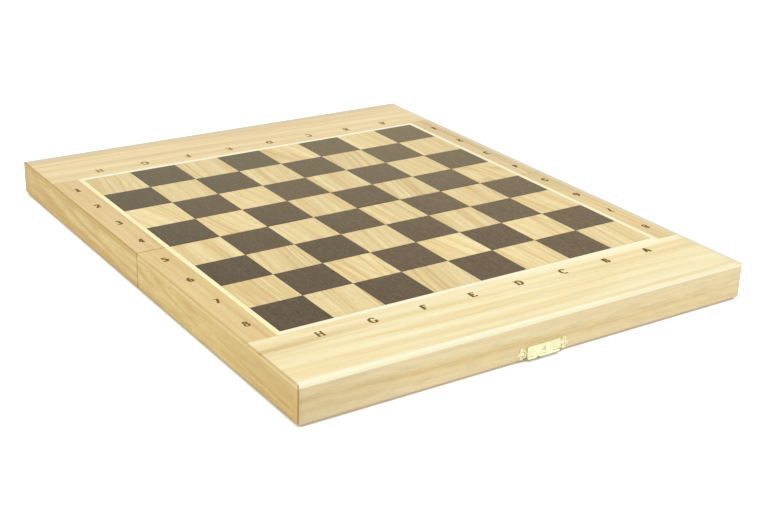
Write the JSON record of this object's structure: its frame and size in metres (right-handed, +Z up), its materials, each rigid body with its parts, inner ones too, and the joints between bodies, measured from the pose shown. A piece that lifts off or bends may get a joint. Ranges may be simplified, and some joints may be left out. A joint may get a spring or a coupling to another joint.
{
  "type": "folding games board",
  "caption": "Folding wooden games board, lying open with its inlaid chequered field up and its two hinged trays down, with a brass hasp.",
  "frame": {"origin": "middle of the board on the surface that it stands on, at the bottom of its bounding box", "axes": "+Z up, out of the playing field; +Y from the near end wall with the hasp to the far end wall; +X to the right, along the fold"},
  "size_m": [0.372, 0.4627, 0.0291],
  "materials": {
    "wall_oak": "satin lacquer",
    "core_panel": "satin lacquer",
    "rail_oak": "satin lacquer",
    "side_rail_oak": "satin lacquer",
    "stringing_maple": "satin lacquer",
    "light_oak": "satin lacquer",
    "dark_wenge": "satin lacquer",
    "tray_ground": "satin lacquer",
    "point_walnut": "satin lacquer",
    "hinge_brass": "rolled",
    "clasp_brass": "bright rolled"
  },
  "bodies": {
    "front_half": {"front_end_wall": "wall_oak", "front_left_wall": "wall_oak", "front_right_wall": "wall_oak", "front_seam_wall": "wall_oak", "front_panel": "core_panel", "front_end_rail": "rail_oak", "front_left_rail": "side_rail_oak", "front_right_rail": "side_rail_oak", "front_stringing": "stringing_maple", "front_light_squares": "light_oak", "front_dark_squares": "dark_wenge", "front_ground": "tray_ground", "front_brown_points": "point_walnut", "front_dark_points": "dark_wenge", "left_hinge_front_leaf": "hinge_brass", "right_hinge_front_leaf": "hinge_brass", "left_hinge_pin": "hinge_brass", "right_hinge_pin": "hinge_brass", "front_hinge_screws": "hinge_brass", "hasp_plate": "clasp_brass", "hasp_pin": "clasp_brass", "hasp_nails": "clasp_brass"},
    "rear_half": {"rear_end_wall": "wall_oak", "rear_left_wall": "wall_oak", "rear_right_wall": "wall_oak", "rear_seam_wall": "wall_oak", "rear_panel": "core_panel", "rear_end_rail": "rail_oak", "rear_left_rail": "side_rail_oak", "rear_right_rail": "side_rail_oak", "rear_stringing": "stringing_maple", "rear_light_squares": "light_oak", "rear_dark_squares": "dark_wenge", "rear_ground": "tray_ground", "rear_brown_points": "point_walnut", "rear_dark_points": "dark_wenge", "left_hinge_rear_leaf": "hinge_brass", "right_hinge_rear_leaf": "hinge_brass", "rear_hinge_screws": "hinge_brass", "keeper_plate": "clasp_brass", "keeper_nails": "clasp_brass"},
    "flap": {"hasp_flap": "clasp_brass"}
  },
  "joints": [
    {"name": "fold", "type": "hinge", "parent": "front_half", "child": "rear_half", "pos_m": [0, 0, 0.0014], "axis": [-1, 0, 0], "range_deg": [0, 180]},
    {"name": "hasp", "type": "hinge", "parent": "front_half", "child": "flap", "pos_m": [0, -0.2297, 0.00265], "axis": [1, 0, 0], "range_deg": [0, 180]}
  ]
}
